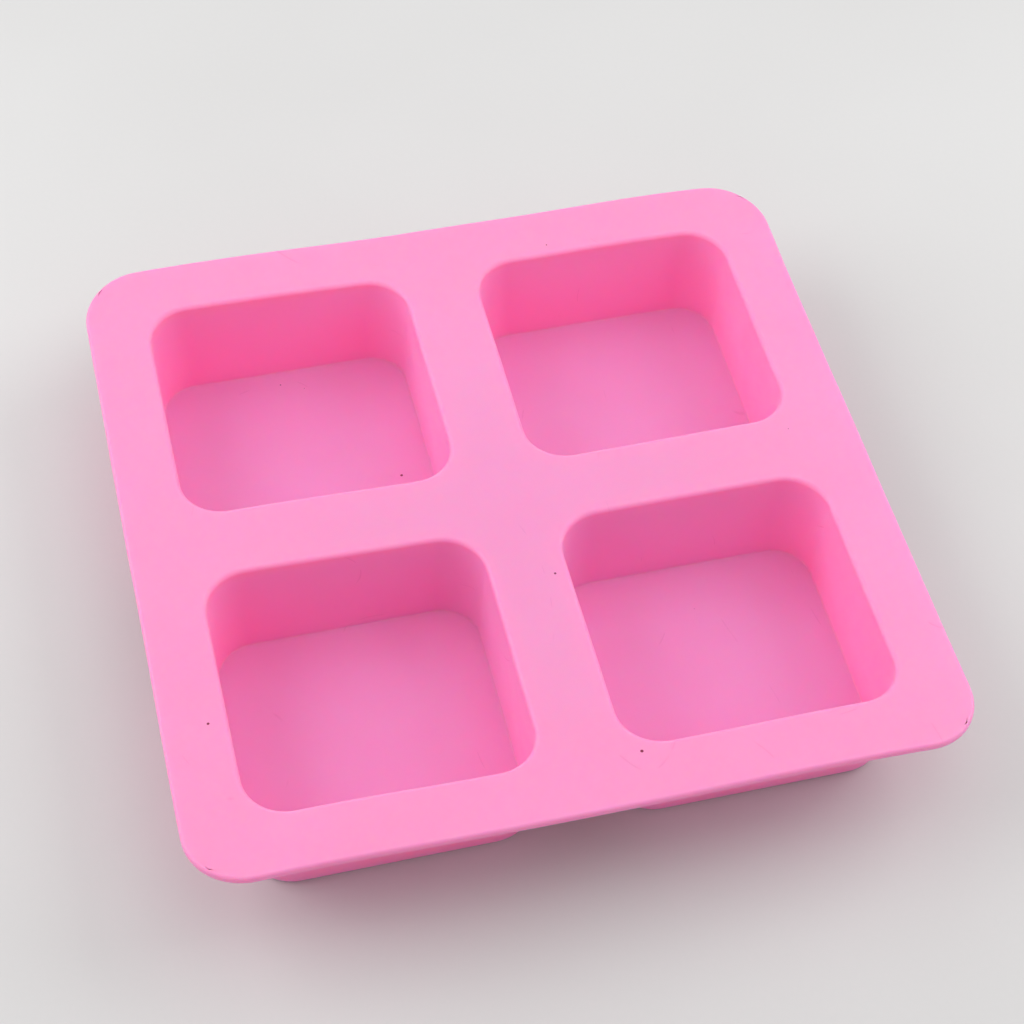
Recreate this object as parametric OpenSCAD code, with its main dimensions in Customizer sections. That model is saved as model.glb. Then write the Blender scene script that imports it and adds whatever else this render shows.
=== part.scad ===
// Four-cavity bar mould, one piece of silicone rubber: a flat square deck with
// four rounded-square cups hanging under it. It stands on the cups' floors.
// Millimetres, +Z up, origin under the middle of the deck at the cups' base.

/* [Cavities] */
// Side of each square opening, at the deck's top
opening_side = 70; // [50:1:100]
// Corner radius of each opening, at the deck's top
opening_radius = 11; // [6:0.5:20]
// Depth of each cavity, from the deck's top to its floor
cavity_depth = 30; // [15:1:60]
// How far each cavity wall leans in between the opening and the floor
wall_draft = 1; // [0:0.25:3]

/* [Deck] */
// Width of the web between two neighbouring openings
web_width = 20; // [12:1:40]
// Width of the border between the openings and the deck's edge
border_width = 16; // [8:1:40]
// Corner radius of the deck
deck_radius = 15.5; // [5:0.5:22]

/* [Rubber] */
// Thickness of the deck
deck_thickness = 2; // [1.5:0.1:4]
// Thickness of the cup walls
wall_thickness = 2; // [1.2:0.1:4]
// Thickness of the cup floors
floor_thickness = 2; // [1.5:0.1:4]

/* [Rounded edges] */
// Radius of the edge where the deck turns down into a cavity
rim_round = 1; // [0.2:0.1:1.4]
// Radius inside a cavity where its wall meets its floor
floor_round = 1; // [0.2:0.1:2]
// Radius of the outer edge around a cup's base
base_round = 1.5; // [0.2:0.1:1.5]
// Radius of the upper edge around the deck
deck_round = 0.5; // [0.2:0.1:1]

/* [Hidden] */
$fn = 64;

// Which way from the middle a cup stands.
LEFT = -1;
RIGHT = 1;
FRONT = -1;
BACK = 1;

height = floor_thickness + cavity_depth;
wall_top = height - deck_thickness;
pitch = opening_side + web_width;
deck_side = 2 * border_width + opening_side + pitch;
// How far the cutter of an opening runs past both faces of the deck.
cutter_past = 1;

// The corners of a cavity and its cup turn about points this far from its middle.
corner_reach = opening_side / 2 - opening_radius;
// Lean of the walls per unit of height, and the length of a wall that rises by one.
lean = wall_draft / cavity_depth;
slant = sqrt(1 + lean * lean);

deck_rubber = [0.97, 0.60, 0.80];
wall_rubber = [0.90, 0.36, 0.64];
floor_rubber = [0.94, 0.48, 0.72];

// Corner radius of a cavity, and of the cup around it, at height z.
function inner_radius(z) = opening_radius - lean * (height - z);
function outer_radius(z) = inner_radius(z) + wall_thickness;

// Puts a cup's own shape at one of the four places.
module at_cup(side, end) {
    translate([side * pitch / 2, end * pitch / 2, 0]) children();
}

// Sweeps a section of radius and height around a square whose corners turn at reach.
module sweep_square(reach) {
    for (turn = [0:90:270]) rotate([0, 0, turn]) translate([reach, reach, 0]) {
        rotate_extrude(angle = 90) children();
        rotate([90, 0, 0]) linear_extrude(2 * reach) children();
    }
}

// The same sweep with the square in the middle filled between two heights.
module solid_square(reach, low, high) {
    sweep_square(reach) children();
    translate([0, 0, low]) linear_extrude(high - low) square(2 * reach, center = true);
}

// The bit of a section between a corner and a round of radius r that touches both its sides.
module corner_bit(centre, r, touch_a, corner, touch_b) {
    difference() {
        polygon([centre, touch_a, corner, touch_b]);
        translate(centre) circle(r);
    }
}

// The deck's border in section, with its upper edge rounded.
module border_section() {
    centre = [deck_radius - deck_round, height - deck_round];
    difference() {
        translate([0, wall_top]) square([deck_radius, deck_thickness]);
        corner_bit(centre, deck_round, [deck_radius, centre.y], [deck_radius, height],
                   [centre.x, height]);
    }
}

// A cavity's mouth in section, through the deck and past it, with the rounded rim.
module mouth_section() {
    low = wall_top - cutter_past;
    high = height + cutter_past;
    rim_z = height - rim_round;
    centre = [inner_radius(rim_z) + rim_round * slant, rim_z];
    difference() {
        polygon([[0, low], [inner_radius(low), low], centre + rim_round / slant * [-1, lean],
                 centre, [centre.x, high], [0, high]]);
        translate(centre) circle(rim_round);
    }
}

module deck() {
    color(deck_rubber) difference() {
        solid_square(deck_side / 2 - deck_radius, wall_top, height) border_section();
        for (side = [LEFT, RIGHT], end = [FRONT, BACK]) at_cup(side, end)
            solid_square(corner_reach, wall_top - cutter_past, height + cutter_past)
                mouth_section();
    }
}

// A cup's wall, from its floor plate up to the deck, with the fillet at its inner foot.
module cup_wall() {
    foot = floor_thickness;
    fillet_z = foot + floor_round;
    centre = [inner_radius(fillet_z) - floor_round * slant, fillet_z];
    color(wall_rubber) sweep_square(corner_reach) difference() {
        polygon([[centre.x, foot], [outer_radius(foot), foot],
                 [outer_radius(wall_top), wall_top], [inner_radius(wall_top), wall_top],
                 centre + floor_round / slant * [1, -lean], centre]);
        translate(centre) circle(floor_round);
    }
}

// A cup's floor plate, with its lower edge rounded.
module cup_floor() {
    centre = [outer_radius(base_round) - base_round * slant, base_round];
    color(floor_rubber) solid_square(corner_reach, 0, floor_thickness) difference() {
        polygon([[0, 0], [outer_radius(0), 0],
                 [outer_radius(floor_thickness), floor_thickness], [0, floor_thickness]]);
        corner_bit(centre, base_round, [centre.x, 0], [outer_radius(0), 0],
                   centre + base_round / slant * [1, -lean]);
    }
}

module wall_back_left() { at_cup(LEFT, BACK) cup_wall(); }
module wall_back_right() { at_cup(RIGHT, BACK) cup_wall(); }
module wall_front_left() { at_cup(LEFT, FRONT) cup_wall(); }
module wall_front_right() { at_cup(RIGHT, FRONT) cup_wall(); }

module floor_back_left() { at_cup(LEFT, BACK) cup_floor(); }
module floor_back_right() { at_cup(RIGHT, BACK) cup_floor(); }
module floor_front_left() { at_cup(LEFT, FRONT) cup_floor(); }
module floor_front_right() { at_cup(RIGHT, FRONT) cup_floor(); }

deck();
wall_back_left();
wall_back_right();
wall_front_left();
wall_front_right();
floor_back_left();
floor_back_right();
floor_front_left();
floor_front_right();
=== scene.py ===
"""The looks of a four-cavity silicone bar mould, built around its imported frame.

The mould is one moulding, so it is made as one closed skin: an upper side with four
cavities, a lower side with the cups around them, and the deck's edge between the two.
Lengths are in metres, +Z is up, and the cups stand on the floor at height zero.
"""

import logging
import math
from dataclasses import dataclass
from enum import Enum

import bmesh
import bpy
from mathutils import Matrix, Vector, noise


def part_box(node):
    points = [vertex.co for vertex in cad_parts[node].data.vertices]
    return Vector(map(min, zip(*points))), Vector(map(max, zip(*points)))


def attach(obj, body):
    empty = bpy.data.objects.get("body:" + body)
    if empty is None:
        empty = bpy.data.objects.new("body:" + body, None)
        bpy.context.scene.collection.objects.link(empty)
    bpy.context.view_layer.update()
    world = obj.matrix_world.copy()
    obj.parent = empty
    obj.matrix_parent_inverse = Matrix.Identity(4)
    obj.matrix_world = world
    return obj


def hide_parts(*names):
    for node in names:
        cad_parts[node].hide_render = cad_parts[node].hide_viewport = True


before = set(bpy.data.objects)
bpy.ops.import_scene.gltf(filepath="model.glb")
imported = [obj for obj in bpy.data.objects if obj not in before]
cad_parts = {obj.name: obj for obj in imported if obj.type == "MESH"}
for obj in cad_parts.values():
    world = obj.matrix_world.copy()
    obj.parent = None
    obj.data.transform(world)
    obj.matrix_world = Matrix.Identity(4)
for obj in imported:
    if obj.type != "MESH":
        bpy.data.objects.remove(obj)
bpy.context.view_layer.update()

MM = 0.001
CRISP_ANGLE = math.radians(60)
SAME_PLACE = 0.001 * MM
WELL_ABOVE = 100 * MM
LOG = logging.getLogger("bar_mould")

Colour = tuple[float, float, float, float]
Socket = bpy.types.NodeSocket
Value = float | str | tuple[float, ...] | Socket


# ---------------------------------------------------------------- sizes


@dataclass(frozen=True)
class MouldSizes:
    """Every size of the moulding, in metres.

    The frame gives what a box can tell. The rest are the design's own values.
    """

    deck_side: float
    height: float
    deck_thickness: float
    floor_thickness: float
    cup_offset: float
    cup_side: float
    opening_radius: float = 11 * MM
    deck_radius: float = 15.5 * MM
    wall_thickness: float = 2 * MM
    wall_draft: float = 1 * MM

    @classmethod
    def from_frame(cls) -> "MouldSizes":
        """Reads the sizes from the frame's boxes.

        Returns:
            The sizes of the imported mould.
        """
        deck_low, deck_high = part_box("deck")
        wall_low, wall_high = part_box("wall_back_right")
        floor_low, floor_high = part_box("floor_back_right")
        return cls(
            deck_side=deck_high.x - deck_low.x,
            height=deck_high.z,
            deck_thickness=deck_high.z - deck_low.z,
            floor_thickness=floor_high.z - floor_low.z,
            cup_offset=(wall_low.x + wall_high.x) / 2,
            cup_side=wall_high.x - wall_low.x,
        )

    @property
    def underside(self) -> float:
        """Height of the deck's underside."""
        return self.height - self.deck_thickness

    @property
    def lean(self) -> float:
        """How far a wall moves out for each unit it rises."""
        return self.wall_draft / (self.height - self.floor_thickness)

    @property
    def corner_reach(self) -> float:
        """Distance of the corners' turning points from a cup's middle, at every height."""
        return self.cup_side / 2 - self.outer_radius(self.underside)

    def inner_radius(self, height: float) -> float:
        """Corner radius of a cavity at a height."""
        return self.opening_radius - self.lean * (self.height - height)

    def outer_radius(self, height: float) -> float:
        """Corner radius of a cup's outside at a height."""
        return self.inner_radius(height) + self.wall_thickness


@dataclass(frozen=True)
class Rounding:
    """How one kind of crisp edge is rounded off."""

    radius: float
    steps: int


class Crease(Enum):
    """The kinds of edge in the moulding, each with its rounding."""

    RIM = Rounding(1.2 * MM, 7)
    CAVITY_FOOT = Rounding(0.45 * MM, 4)
    UNDER_DECK = Rounding(0.8 * MM, 4)
    CUP_BASE = Rounding(1.9 * MM, 6)
    DECK_TOP = Rounding(0.9 * MM, 5)
    DECK_FOOT = Rounding(0.3 * MM, 3)


@dataclass(frozen=True)
class Lie:
    """How the soft deck lies: stiff over the cups, slack between and beyond them.

    Each curve value is a rise in metres at the deck's edge, and the deck's own
    half side is the unit of place. The cups' floors stay flat on the ground.
    """

    sag: float = 1.4 * MM
    across: tuple[float, float] = (4.7 * MM, -4.9 * MM)
    along: tuple[float, float] = (-0.1 * MM, 1.9 * MM)
    corner_drop: float = 0.6 * MM
    tilt: tuple[float, float] = (0.7 * MM, 0.1 * MM)
    wobble: float = 0.16 * MM
    wobble_length: float = 28 * MM
    wobble_seed: int = 5

    def rise(self, u: float, v: float) -> float:
        """Rise of the deck at a place.

        Args:
            u: Place across the deck, -1 to 1.
            v: Place along the deck, -1 to 1.

        Returns:
            The rise in metres.
        """
        across = self.across[0] * u**2 + self.across[1] * u**4
        along = self.along[0] * v**2 + self.along[1] * v**4
        tilt = self.tilt[0] * u + self.tilt[1] * v
        return across + along - self.corner_drop * (u * v) ** 2 - self.sag - tilt

    def settle(self, mesh: bmesh.types.BMesh, sizes: MouldSizes) -> None:
        """Moves the moulding's points to where the rubber lies.

        Args:
            mesh: The moulding.
            sizes: Its sizes.
        """
        noise.seed_set(self.wobble_seed)
        half = sizes.deck_side / 2
        for point in mesh.verts:
            share = smoothstep(sizes.floor_thickness, sizes.underside, point.co.z)
            rise = self.rise(point.co.x / half, point.co.y / half)
            drift = noise.noise_vector(point.co / self.wobble_length) * self.wobble
            point.co += drift * share
            point.co.z += rise * share


def smoothstep(low: float, high: float, value: float) -> float:
    """A smooth climb from 0 to 1.

    Args:
        low: Where it starts.
        high: Where it ends.
        value: Where it is read.

    Returns:
        The height of the climb.
    """
    share = min(max((value - low) / (high - low), 0.0), 1.0)
    return share * share * (3 - 2 * share)


# ---------------------------------------------------------------- mesh


@dataclass(frozen=True)
class Outline:
    """A level square with round corners, as a closed ring of edges."""

    side: float
    radius: float
    height: float
    arc_steps: int
    side_steps: int

    def trace(self, mesh: bmesh.types.BMesh) -> list[bmesh.types.BMEdge]:
        """Draws the outline about the mesh's origin.

        Args:
            mesh: The mesh that takes the ring.

        Returns:
            The ring's edges.
        """
        before = set(mesh.edges)
        place = Matrix.Translation((0, 0, self.height))
        corners = bmesh.ops.create_grid(
            mesh, x_segments=1, y_segments=1, size=self.side / 2, matrix=place
        )["verts"]
        face = corners[0].link_faces[0]
        steps = self.side_steps
        if self.radius > 0:
            face = bmesh.ops.bevel(
                mesh,
                geom=corners,
                offset=self.radius,
                offset_type="OFFSET",
                segments=self.arc_steps,
                profile=0.5,
                affect="VERTICES",
                material=-1,
            )["verts"][0].link_faces[0]
        else:
            steps += self.arc_steps
        straight = sorted(face.edges, key=lambda edge: -edge.calc_length())[:4]
        bmesh.ops.subdivide_edges(mesh, edges=straight, cuts=steps - 1)
        bmesh.ops.delete(mesh, geom=[face], context="FACES_ONLY")
        return [edge for edge in mesh.edges if edge not in before]


@dataclass(frozen=True)
class MouldSide:
    """One side of the moulding: a deck with four pockets let into it."""

    pitch: float
    deck_side: float
    deck_radius: float
    deck_height: float
    mouth_side: float
    mouth_radius: float
    floor_side: float
    floor_radius: float
    floor_height: float
    arc_steps: int = 16
    side_steps: int = 16
    deck_rings: int = 5
    border_rings: int = 3
    wall_rings: int = 9
    floor_band: float = 3 * MM

    def build(self) -> bmesh.types.BMesh:
        """Builds the side.

        Returns:
            The side as an open mesh, with its rim at the deck's edge.
        """
        mesh = bmesh.new()
        self._pocket(mesh)
        half = self.pitch / 2
        first = list(mesh.verts) + list(mesh.edges) + list(mesh.faces)
        for x, y in ((-half, -half), (half, -half), (-half, half)):
            copy = bmesh.ops.duplicate(mesh, geom=first)["geom"]
            moved = [item for item in copy if isinstance(item, bmesh.types.BMVert)]
            bmesh.ops.translate(mesh, verts=moved, vec=(x, y, 0))
        moved = [item for item in first if isinstance(item, bmesh.types.BMVert)]
        bmesh.ops.translate(mesh, verts=moved, vec=(half, half, 0))
        bmesh.ops.remove_doubles(mesh, verts=mesh.verts, dist=SAME_PLACE)
        self._border(mesh)
        return mesh

    def _pocket(self, mesh: bmesh.types.BMesh) -> None:
        """Makes one pocket with the square of deck around it, about the origin.

        Args:
            mesh: The mesh that takes them.
        """
        cell = Outline(self.pitch, 0, self.deck_height, self.arc_steps, self.side_steps)
        mouth = Outline(
            self.mouth_side, self.mouth_radius, self.deck_height, self.arc_steps, self.side_steps
        )
        foot = Outline(
            self.floor_side, self.floor_radius, self.floor_height, self.arc_steps, self.side_steps
        )
        middle = Outline(
            self.floor_side - 2 * self.floor_band,
            self.floor_radius - self.floor_band,
            self.floor_height,
            self.arc_steps,
            self.side_steps,
        )
        cell_ring = cell.trace(mesh)
        mouth_ring = mouth.trace(mesh)
        foot_ring = foot.trace(mesh)
        middle_ring = middle.trace(mesh)
        ends = [edge for edge in middle_ring if lies_at_an_end(edge)]
        bmesh.ops.grid_fill(mesh, edges=ends, use_interp_simple=True)
        bridge(mesh, middle_ring, foot_ring, 1)
        bridge(mesh, mouth_ring, cell_ring, self.deck_rings)
        bridge(mesh, foot_ring, mouth_ring, self.wall_rings)

    def _border(self, mesh: bmesh.types.BMesh) -> None:
        """Adds the band of deck from the four pockets' squares out to the deck's edge.

        Args:
            mesh: The mesh with the four pockets.
        """
        block = [edge for edge in mesh.edges if edge.is_boundary]
        steps = 2 * (self.arc_steps + self.side_steps) - self.arc_steps
        edge_ring = Outline(
            self.deck_side, self.deck_radius, self.deck_height, self.arc_steps, steps
        ).trace(mesh)
        bridge(mesh, block, edge_ring, self.border_rings)


def bridge(
    mesh: bmesh.types.BMesh,
    fixed: list[bmesh.types.BMEdge],
    lifted: list[bmesh.types.BMEdge],
    bands: int,
) -> None:
    """Joins two rings of edges with a strip of faces, cut into bands along its length.

    Rings at one height give the joining no depth to tell their directions by, so one is
    held well above the other while they are joined.

    Args:
        mesh: The mesh with both rings.
        fixed: The ring that stays where it is.
        lifted: The ring that is held up meanwhile.
        bands: How many bands of faces the strip has.
    """
    lift = Vector((0, 0, WELL_ABOVE))
    held = list({point for edge in lifted for point in edge.verts})
    bmesh.ops.translate(mesh, verts=held, vec=lift)
    rungs = bmesh.ops.bridge_loops(mesh, edges=fixed + lifted)["edges"]
    bmesh.ops.translate(mesh, verts=held, vec=-lift)
    if bands > 1:
        bmesh.ops.subdivide_edges(mesh, edges=rungs, cuts=bands - 1, use_grid_fill=True)


def lies_at_an_end(edge: bmesh.types.BMEdge) -> bool:
    """Tells whether an edge of a ring about the origin is on its front or back side."""
    middle = (edge.verts[0].co + edge.verts[1].co) / 2
    return abs(middle.y) > abs(middle.x)


class BarMould:
    """The moulding, as one closed skin in one rubber."""

    name = "bar_mould_skin"
    flat_weight = 80

    def __init__(self, sizes: MouldSizes, lie: Lie) -> None:
        """Keeps the sizes and the lie of the rubber.

        Args:
            sizes: The mould's sizes.
            lie: How its deck lies.
        """
        self.sizes = sizes
        self.lie = lie

    def build(self) -> bpy.types.Object:
        """Builds the moulding's mesh.

        Returns:
            The moulding, in the scene.
        """
        mesh = self._upper_side().build()
        lower = self._lower_side().build()
        bmesh.ops.reverse_faces(lower, faces=lower.faces)
        holder = bpy.data.meshes.new("lower_side")
        lower.to_mesh(holder)
        lower.free()
        mesh.from_mesh(holder)
        bpy.data.meshes.remove(holder)
        rims = [edge for edge in mesh.edges if edge.is_boundary]
        half_way = (self.sizes.height + self.sizes.underside) / 2
        upper_rim = [edge for edge in rims if edge.verts[0].co.z > half_way]
        lower_rim = [edge for edge in rims if edge.verts[0].co.z < half_way]
        bridge(mesh, lower_rim, upper_rim, 1)
        bmesh.ops.recalc_face_normals(mesh, faces=mesh.faces)
        mesh.normal_update()
        self._round_creases(mesh)
        self.lie.settle(mesh, self.sizes)
        for face in mesh.faces:
            face.smooth = True
        data = bpy.data.meshes.new(self.name)
        mesh.to_mesh(data)
        mesh.free()
        piece = bpy.data.objects.new(self.name, data)
        bpy.context.scene.collection.objects.link(piece)
        flats = piece.modifiers.new("keep_flats_flat", "WEIGHTED_NORMAL")
        flats.weight = self.flat_weight
        flats.keep_sharp = True
        return piece

    def _upper_side(self) -> MouldSide:
        """Sizes the side that is seen from above, with the cavities.

        Returns:
            The side, not yet built.
        """
        sizes = self.sizes
        foot = sizes.floor_thickness
        return MouldSide(
            pitch=2 * sizes.cup_offset,
            deck_side=sizes.deck_side,
            deck_radius=sizes.deck_radius,
            deck_height=sizes.height,
            mouth_side=2 * (sizes.corner_reach + sizes.opening_radius),
            mouth_radius=sizes.opening_radius,
            floor_side=2 * (sizes.corner_reach + sizes.inner_radius(foot)),
            floor_radius=sizes.inner_radius(foot),
            floor_height=foot,
        )

    def _lower_side(self) -> MouldSide:
        """Sizes the side that is seen from below, with the cups.

        Returns:
            The side, not yet built.
        """
        sizes = self.sizes
        mouth = sizes.outer_radius(sizes.underside)
        base = sizes.outer_radius(0)
        return MouldSide(
            pitch=2 * sizes.cup_offset,
            deck_side=sizes.deck_side,
            deck_radius=sizes.deck_radius,
            deck_height=sizes.underside,
            mouth_side=2 * (sizes.corner_reach + mouth),
            mouth_radius=mouth,
            floor_side=2 * (sizes.corner_reach + base),
            floor_radius=base,
            floor_height=0,
        )

    def _round_creases(self, mesh: bmesh.types.BMesh) -> None:
        """Rounds every crisp edge by its own radius.

        Args:
            mesh: The moulding, closed and still crisp.
        """
        groups: dict[Crease, list[bmesh.types.BMEdge]] = {kind: [] for kind in Crease}
        for edge in mesh.edges:
            if edge.is_manifold and edge.calc_face_angle() > CRISP_ANGLE:
                groups[self._kind_of(edge)].append(edge)
        for kind, edges in groups.items():
            bmesh.ops.bevel(
                mesh,
                geom=edges,
                offset=kind.value.radius,
                offset_type="OFFSET",
                segments=kind.value.steps,
                profile=0.5,
                affect="EDGES",
                clamp_overlap=False,
                material=-1,
            )

    def _kind_of(self, edge: bmesh.types.BMEdge) -> Crease:
        """Tells from an edge's place which crease it belongs to.

        Args:
            edge: A crisp edge.

        Returns:
            Its kind of crease.
        """
        sizes = self.sizes
        middle = (edge.verts[0].co + edge.verts[1].co) / 2
        past_the_cups = sizes.cup_offset + sizes.cup_side / 2 + MM
        at_border = max(abs(middle.x), abs(middle.y)) > past_the_cups
        levels = {
            sizes.height: Crease.DECK_TOP if at_border else Crease.RIM,
            sizes.underside: Crease.DECK_FOOT if at_border else Crease.UNDER_DECK,
            sizes.floor_thickness: Crease.CAVITY_FOOT,
            0.0: Crease.CUP_BASE,
        }
        nearest = min(levels, key=lambda level: abs(level - middle.z))
        return levels[nearest]


# ---------------------------------------------------------------- finishes


@dataclass(frozen=True)
class Clouds:
    """Cloudy noise: its size in metres, its finer layers, and where it starts and is full."""

    size: float
    layers: int
    start: float
    full: float


@dataclass(frozen=True)
class Spots:
    """Scattered marks of uneven size: lengths in metres, and the share of places left bare."""

    spacing: float
    radius: float
    edge: float
    rarity: float
    upright_stretch: float = 0.35


class NodeSheet:
    """A material's node tree, with short calls to add and join its nodes."""

    def __init__(self, name: str) -> None:
        """Starts an empty material.

        Args:
            name: The material's name.
        """
        self.material = bpy.data.materials.new(name)
        self.material.use_nodes = True
        self.tree = self.material.node_tree
        self.tree.nodes.clear()
        self.place = self.add("ShaderNodeTexCoord").outputs["Object"]

    def add(
        self, kind: str, inputs: dict[str | int, Value] | None = None, **settings: str
    ) -> bpy.types.Node:
        """Adds a node.

        Args:
            kind: The node's type name.
            inputs: Values or output sockets for its inputs, by input name or number.
            **settings: The node's own settings.

        Returns:
            The new node.
        """
        node = self.tree.nodes.new(kind)
        for key, value in settings.items():
            setattr(node, key, value)
        for key, value in (inputs or {}).items():
            if isinstance(value, Socket):
                self.tree.links.new(value, node.inputs[key])
            else:
                node.inputs[key].default_value = value
        return node

    def stretched(self, scale: tuple[float, float, float], turn: float) -> Socket:
        """Places in the material, stretched and turned about the upright axis.

        Args:
            scale: Scale along each axis.
            turn: Turn about the upright axis, in degrees.

        Returns:
            The places' output.
        """
        settings = {"Vector": self.place, "Rotation": (0, 0, math.radians(turn)), "Scale": scale}
        return self.add("ShaderNodeMapping", settings).outputs["Vector"]

    def noise(self, size: float, detail: int, place: Socket | None = None) -> Socket:
        """Cloudy noise.

        Args:
            size: Size of its clouds, in metres.
            detail: How many finer layers it has.
            place: Where it is read, the object's own places unless given.

        Returns:
            The noise's output, about 0.5.
        """
        inputs = {"Vector": place or self.place, "Scale": 1 / size, "Detail": detail}
        return self.add("ShaderNodeTexNoise", inputs).outputs["Fac"]

    def ramp(
        self,
        value: Socket,
        start: tuple[float, float],
        end: tuple[float, float],
        shape: str = "SMOOTHSTEP",
    ) -> Socket:
        """Maps a value from one range to another, and holds it at the ends.

        Args:
            value: The value.
            start: The value at the ramp's start, and what it becomes.
            end: The value at the ramp's end, and what it becomes.
            shape: The ramp's kind.

        Returns:
            The mapped value.
        """
        inputs = {
            "Value": value,
            "From Min": start[0],
            "From Max": end[0],
            "To Min": start[1],
            "To Max": end[1],
        }
        return self.add("ShaderNodeMapRange", inputs, interpolation_type=shape).outputs["Result"]

    def clouds(self, kind: Clouds, low: float = 0.0, high: float = 1.0) -> Socket:
        """Soft-edged clouds over the object's own places.

        Args:
            kind: The clouds' sizes.
            low: Value outside the clouds.
            high: Value where they are full.

        Returns:
            The clouds' output.
        """
        drift = self.noise(kind.size, detail=kind.layers)
        return self.ramp(drift, (kind.start, low), (kind.full, high))

    def math(self, operation: str, first: Value, second: Value) -> Socket:
        """Joins two values by arithmetic."""
        return self.add("ShaderNodeMath", {0: first, 1: second}, operation=operation).outputs[0]

    def mix(self, share: Value, first: Value, second: Value) -> Socket:
        """Mixes two colours, by socket number because the mix node's names repeat.

        Args:
            share: How much of the second.
            first: The first colour.
            second: The second colour.

        Returns:
            The mixed colour.
        """
        inputs = {0: share, 6: first, 7: second}
        return self.add("ShaderNodeMix", inputs, data_type="RGBA").outputs[2]

    def spots(self, kind: Spots) -> Socket:
        """Scattered marks, drawn out a little along the upright axis.

        Args:
            kind: The marks' sizes.

        Returns:
            1 inside a mark, 0 outside.
        """
        edge = kind.edge / kind.spacing
        place = self.stretched((1.0, 1.0, kind.upright_stretch), 0)
        cells = self.add("ShaderNodeTexVoronoi", {"Vector": place, "Scale": 1 / kind.spacing})
        lot = self.add("ShaderNodeSeparateColor", {"Color": cells.outputs["Color"]}).outputs["Red"]
        reach = self.ramp(lot, (kind.rarity, -edge), (1.0, kind.radius / kind.spacing), "LINEAR")
        depth = self.math("SUBTRACT", cells.outputs["Distance"], reach)
        return self.ramp(depth, (-edge, 1.0), (0.0, 0.0))

    def bump(self, height: Socket, depth: float, below: Socket | None = None) -> Socket:
        """Relief from a height between 0 and 1.

        Args:
            height: The height.
            depth: The relief's depth in metres.
            below: Normals that it is laid over.

        Returns:
            The normals.
        """
        inputs = {"Height": height, "Distance": depth}
        if below is not None:
            inputs["Normal"] = below
        return self.add("ShaderNodeBump", inputs).outputs["Normal"]

    def finish(self, inputs: dict[str | int, Value]) -> bpy.types.Material:
        """Adds the shader and the output.

        Args:
            inputs: The shader's inputs.

        Returns:
            The finished material.
        """
        shader = self.add("ShaderNodeBsdfPrincipled", inputs)
        self.add("ShaderNodeOutputMaterial", {"Surface": shader.outputs["BSDF"]})
        return self.material


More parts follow.
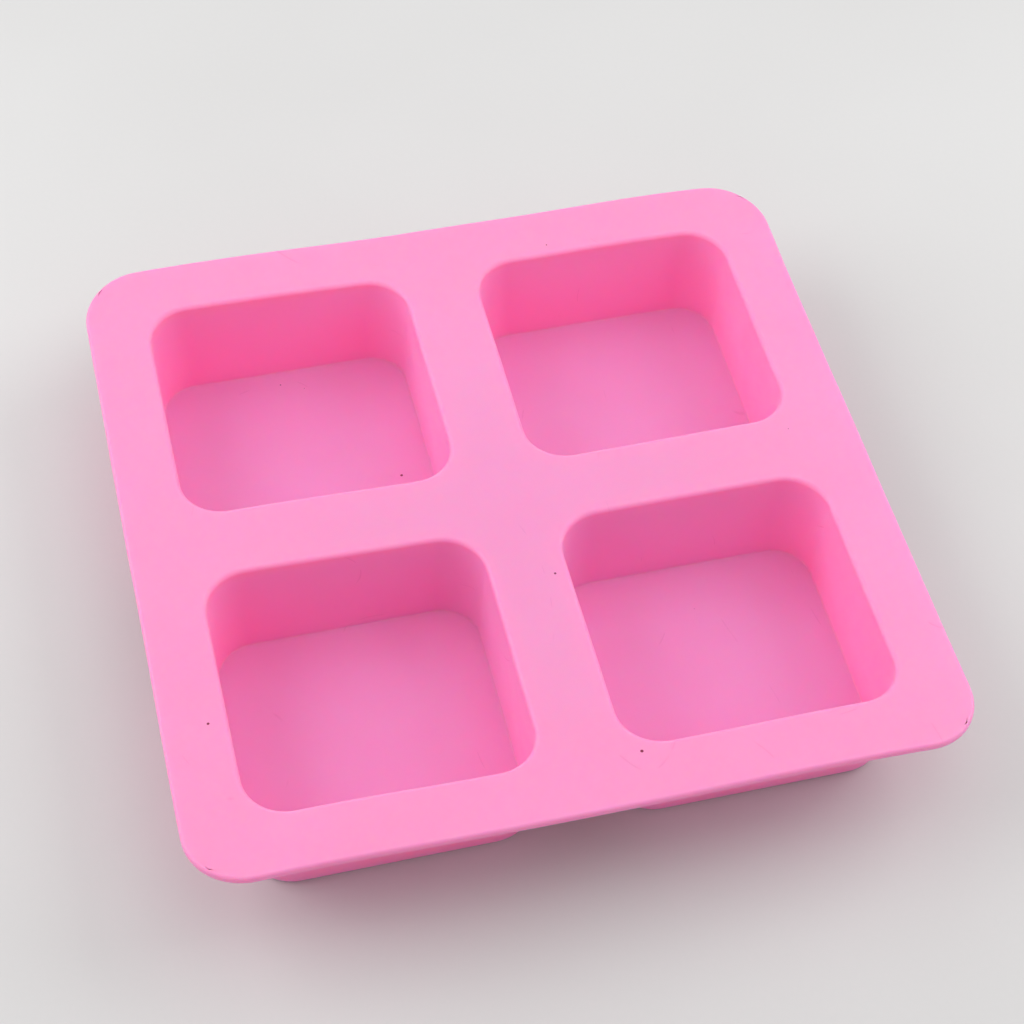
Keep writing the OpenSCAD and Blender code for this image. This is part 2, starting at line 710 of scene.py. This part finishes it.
@dataclass(frozen=True)
class SiliconeFinish:
    """Pink silicone rubber: satin, a little see-through, with painted sheen on the deck's top, and
    use marks.

    The pigment is cloudy, the deck's top carries a painted sheen, and the skin has
    specks, faint warm stains, hairline scuffs, smudges and a fine moulded grain.
    """

    deck_height: float
    pigment: Colour = (0.992, 0.278, 0.568, 1.0)
    pale_pigment: Colour = (0.992, 0.300, 0.595, 1.0)
    pigment_clouds: Clouds = Clouds(42 * MM, 2, 0.32, 0.68)

    # painted sheen: a colour laid on the deck's top in place of the lamps' sheen on it
    painted_sheen_colour: Colour = (0.990, 0.289, 0.513, 1.0)
    painted_sheen_share: float = 0.85
    painted_sheen_foot: float = 4 * MM
    painted_sheen_head: float = 0.5 * MM
    painted_sheen_clouds: Clouds = Clouds(16 * MM, 3, 0.25, 0.65)
    painted_sheen_least: float = 0.8

    speck: Colour = (0.220, 0.010, 0.045, 1.0)
    specks: Spots = Spots(6.5 * MM, 0.50 * MM, 0.12 * MM, 0.80)
    stain: Colour = (0.860, 0.270, 0.240, 1.0)
    stains: Spots = Spots(24 * MM, 4.5 * MM, 3.4 * MM, 0.62)
    stain_clouds: Clouds = Clouds(2.2 * MM, 2, 0.36, 0.66)
    stain_share: float = 0.42

    scuff: Colour = (0.780, 0.170, 0.400, 1.0)
    scuff_share: float = 0.28
    scuff_curve: float = 34 * MM
    scuff_stretch: tuple[float, float, float] = (1.0, 0.55, 1.0)
    scuff_turn: float = 37
    scuff_core: float = 0.0006
    scuff_edge: float = 0.0030
    scuff_breaks: Clouds = Clouds(9 * MM, 1, 0.60, 0.66)
    scuff_dullness: float = 0.12
    scuff_depth: float = 0.02 * MM

    gloss: tuple[float, float] = (0.36, 0.50)
    worn_range: tuple[float, float] = (0.34, 0.64)
    smudge_size: float = 24 * MM
    smudge_share: float = 0.6
    wipe_size: float = 9 * MM
    wipe_stretch: tuple[float, float, float] = (0.35, 1.0, 1.0)
    wipe_turn: float = 28

    swell_size: float = 30 * MM
    swell_depth: float = 0.30 * MM
    grain_size: float = 0.45 * MM
    grain_depth: float = 0.006 * MM

    refraction: float = 1.41
    depth_weight: float = 0.8
    depth_radius: tuple[float, float, float] = (6.0 * MM, 1.2 * MM, 2.5 * MM)

    def make(self) -> bpy.types.Material:
        """Builds the material.

        Returns:
            The silicone material.
        """
        sheet = NodeSheet("pink_silicone")
        scuffs = self._scuffs(sheet)
        return sheet.finish(
            {
                "Base Color": self._colour(sheet, scuffs),
                "Roughness": self._roughness(sheet, scuffs),
                "IOR": self.refraction,
                "Subsurface Weight": self.depth_weight,
                "Subsurface Radius": self.depth_radius,
                "Subsurface Scale": 1.0,
                "Normal": self._relief(sheet, scuffs),
            }
        )

    def _scuffs(self, sheet: NodeSheet) -> Socket:
        """Short hairline scuffs: fine level lines of one noise, let through by another.

        Args:
            sheet: The material's node tree.

        Returns:
            1 on a scuff, 0 elsewhere.
        """
        place = sheet.stretched(self.scuff_stretch, self.scuff_turn)
        level = sheet.math("SUBTRACT", sheet.noise(self.scuff_curve, 0, place), 0.5)
        away = sheet.math("ABSOLUTE", level, 0.0)
        lines = sheet.ramp(away, (self.scuff_core, 1.0), (self.scuff_edge, 0.0))
        return sheet.math("MULTIPLY", lines, sheet.clouds(self.scuff_breaks))

    def _colour(self, sheet: NodeSheet, scuffs: Socket) -> Socket:
        """The rubber's colour, with the painted sheen on the deck's top and its marks.

        Args:
            sheet: The material's node tree.
            scuffs: Where the scuffs are.

        Returns:
            The colour.
        """
        specks = sheet.spots(self.specks)
        clouds = sheet.clouds(self.pigment_clouds)
        colour = sheet.mix(clouds, self.pigment, self.pale_pigment)
        patches = sheet.clouds(self.painted_sheen_clouds, low=self.painted_sheen_least)
        # painted sheen: the deck's top is mixed in patches towards the sheen colour
        painted_sheen = sheet.math("MULTIPLY", self._painted_sheen_on_top(sheet), patches)
        colour = sheet.mix(painted_sheen, colour, self.painted_sheen_colour)
        blotches = sheet.clouds(self.stain_clouds, high=self.stain_share)
        stains = sheet.math("MULTIPLY", sheet.spots(self.stains), blotches)
        colour = sheet.mix(stains, colour, self.stain)
        colour = sheet.mix(sheet.math("MULTIPLY", scuffs, self.scuff_share), colour, self.scuff)
        return sheet.mix(specks, colour, self.speck)

    def _painted_sheen_on_top(self, sheet: NodeSheet) -> Socket:
        """Where the painted sheen lies: on the deck's top, and fading out just below the openings.

        Args:
            sheet: The material's node tree.

        Returns:
            The painted sheen's share by height.
        """
        height = sheet.add("ShaderNodeSeparateXYZ", {"Vector": sheet.place}).outputs["Z"]
        foot = (self.deck_height - self.painted_sheen_foot, 0.0)
        return sheet.ramp(height, foot, (self.deck_height - self.painted_sheen_head, self.painted_sheen_share))

    def _roughness(self, sheet: NodeSheet, scuffs: Socket) -> Socket:
        """The rubber's roughness: satin, with duller smudges, wipes and scuffs.

        Args:
            sheet: The material's node tree.
            scuffs: Where the scuffs are.

        Returns:
            The roughness.
        """
        place = sheet.stretched(self.wipe_stretch, self.wipe_turn)
        smudges = sheet.noise(self.smudge_size, detail=2)
        smudges = sheet.math("MULTIPLY", smudges, self.smudge_share)
        wipes = sheet.noise(self.wipe_size, 2, place)
        wipes = sheet.math("MULTIPLY", wipes, 1 - self.smudge_share)
        worn = sheet.math("ADD", smudges, wipes)
        start, end = self.worn_range
        satin = sheet.ramp(worn, (start, self.gloss[0]), (end, self.gloss[1]))
        return sheet.math("ADD", satin, sheet.math("MULTIPLY", scuffs, self.scuff_dullness))

    def _relief(self, sheet: NodeSheet, scuffs: Socket) -> Socket:
        """The skin's relief: slow swells, fine moulded grain and the scuffs' grooves.

        Args:
            sheet: The material's node tree.
            scuffs: Where the scuffs are.

        Returns:
            The normals.
        """
        swells = sheet.bump(sheet.noise(self.swell_size, detail=1), self.swell_depth)
        grain = sheet.bump(sheet.noise(self.grain_size, detail=0), self.grain_depth, swells)
        return sheet.bump(sheet.math("SUBTRACT", 1.0, scuffs), self.scuff_depth, grain)


@dataclass(frozen=True)
class FloorFinish:
    """A plain pale studio floor with a faint paper grain."""

    colour: Colour = (0.600, 0.596, 0.592, 1.0)
    pale_colour: Colour = (0.618, 0.615, 0.612, 1.0)
    clouds: Clouds = Clouds(180 * MM, 3, 0.35, 0.65)
    fibres: Clouds = Clouds(1.6 * MM, 3, 0.3, 0.7)
    fibre_depth: float = 0.02 * MM
    gloss: tuple[float, float] = (0.66, 0.80)

    def make(self) -> bpy.types.Material:
        """Builds the floor's material.

        Returns:
            The floor material.
        """
        sheet = NodeSheet("pale_floor")
        fibres = sheet.noise(self.fibres.size, detail=self.fibres.layers)
        start, full = self.fibres.start, self.fibres.full
        return sheet.finish(
            {
                "Base Color": sheet.mix(sheet.clouds(self.clouds), self.colour, self.pale_colour),
                "Roughness": sheet.ramp(fibres, (start, self.gloss[0]), (full, self.gloss[1])),
                "Normal": sheet.bump(fibres, self.fibre_depth),
            }
        )


# ---------------------------------------------------------------- studio


@dataclass(frozen=True)
class SoftBox:
    """A square area light, aimed at the middle of the mould."""

    name: str
    azimuth: float
    elevation: float
    power: float
    side: float = 0.6
    distance: float = 0.9

    def place(self) -> None:
        """Puts the light in the scene."""
        lamp = bpy.data.lights.new(self.name, "AREA")
        lamp.shape = "SQUARE"
        lamp.size = self.side
        lamp.energy = self.power
        light = bpy.data.objects.new(self.name, lamp)
        toward = direction(self.azimuth, self.elevation)
        light.location = toward * self.distance
        light.visible_camera = False
        light.rotation_euler = (-toward).to_track_quat("-Z", "Y").to_euler()
        bpy.context.scene.collection.objects.link(light)


@dataclass(frozen=True)
class Viewpoint:
    """Where the camera stands, as angles about a point on the deck."""

    azimuth: float = -15.97
    elevation: float = 51.82
    roll: float = 2.71
    distance: float = 593.7 * MM
    aim: tuple[float, float] = (0.15 * MM, -6.28 * MM)
    lens: float = 82.63

    def place(self, aim_height: float) -> None:
        """Makes the scene's camera.

        Args:
            aim_height: Height of the point that it looks at.
        """
        data = bpy.data.cameras.new("camera")
        data.lens = self.lens
        camera = bpy.data.objects.new("camera", data)
        back = direction(self.azimuth, self.elevation)
        camera.location = Vector((*self.aim, aim_height)) + back * self.distance
        level = (-back).to_track_quat("-Z", "Y").to_matrix()
        turned = level @ Matrix.Rotation(math.radians(self.roll), 3, "Z")
        camera.rotation_euler = turned.to_euler()
        bpy.context.scene.collection.objects.link(camera)
        bpy.context.scene.camera = camera


def direction(azimuth: float, elevation: float) -> Vector:
    """Works out which way a place round the mould lies.

    Args:
        azimuth: Angle round the mould in degrees, from the front towards the right.
        elevation: Angle above the floor in degrees.

    Returns:
        The unit vector towards it.
    """
    turn, climb = math.radians(azimuth), math.radians(elevation)
    return Vector(
        (math.sin(turn) * math.cos(climb), -math.cos(turn) * math.cos(climb), math.sin(climb))
    )


@dataclass(frozen=True)
class Studio:
    """The floor and the lights around the mould.

    The floor is a hair below the cups, so that the two aren't in one plane.
    """

    floor_side: float = 6.0
    floor_gap: float = 0.05 * MM
    sky: float = 0.52
    lights: tuple[SoftBox, ...] = (
        SoftBox("left_light", -109, 38, 3.3, distance=0.75),
        SoftBox("right_light", 96, 38, 3.0, distance=0.8),
        SoftBox("back_light", 176, 34, 0.7),
        SoftBox("top_light", 30, 70, 1.2),
    )

    def build(self) -> None:
        """Sets up the studio."""
        self._floor()
        self._sky()
        for light in self.lights:
            light.place()

    def _floor(self) -> None:
        """Lays the floor under the cups."""
        mesh = bmesh.new()
        level = Matrix.Translation((0, 0, -self.floor_gap))
        bmesh.ops.create_grid(
            mesh, x_segments=1, y_segments=1, size=self.floor_side / 2, matrix=level
        )
        data = bpy.data.meshes.new("studio_floor")
        mesh.to_mesh(data)
        mesh.free()
        floor = bpy.data.objects.new("studio_floor", data)
        data.materials.append(FloorFinish().make())
        bpy.context.scene.collection.objects.link(floor)

    def _sky(self) -> None:
        """Surrounds the scene with even, soft light."""
        world = bpy.data.worlds.new("soft_surround")
        world.use_nodes = True
        backdrop = world.node_tree.nodes["Background"]
        backdrop.inputs["Color"].default_value = (1.0, 1.0, 1.0, 1.0)
        backdrop.inputs["Strength"].default_value = self.sky
        bpy.context.scene.world = world


# ---------------------------------------------------------------- building


def main() -> None:
    """Builds the mould, the studio and the camera."""
    logging.basicConfig(level=logging.INFO, format="%(name)s: %(message)s")
    bpy.context.scene.view_settings.view_transform = "Standard"

    sizes = MouldSizes.from_frame()
    mould = BarMould(sizes, Lie())
    piece = mould.build()
    piece.data.materials.append(SiliconeFinish(sizes.height).make())
    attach(piece, "root")
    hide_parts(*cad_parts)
    LOG.info("%s: %d faces", piece.name, len(piece.data.polygons))

    Studio().build()
    Viewpoint().place(sizes.height)


if __name__ == "__main__":
    main()
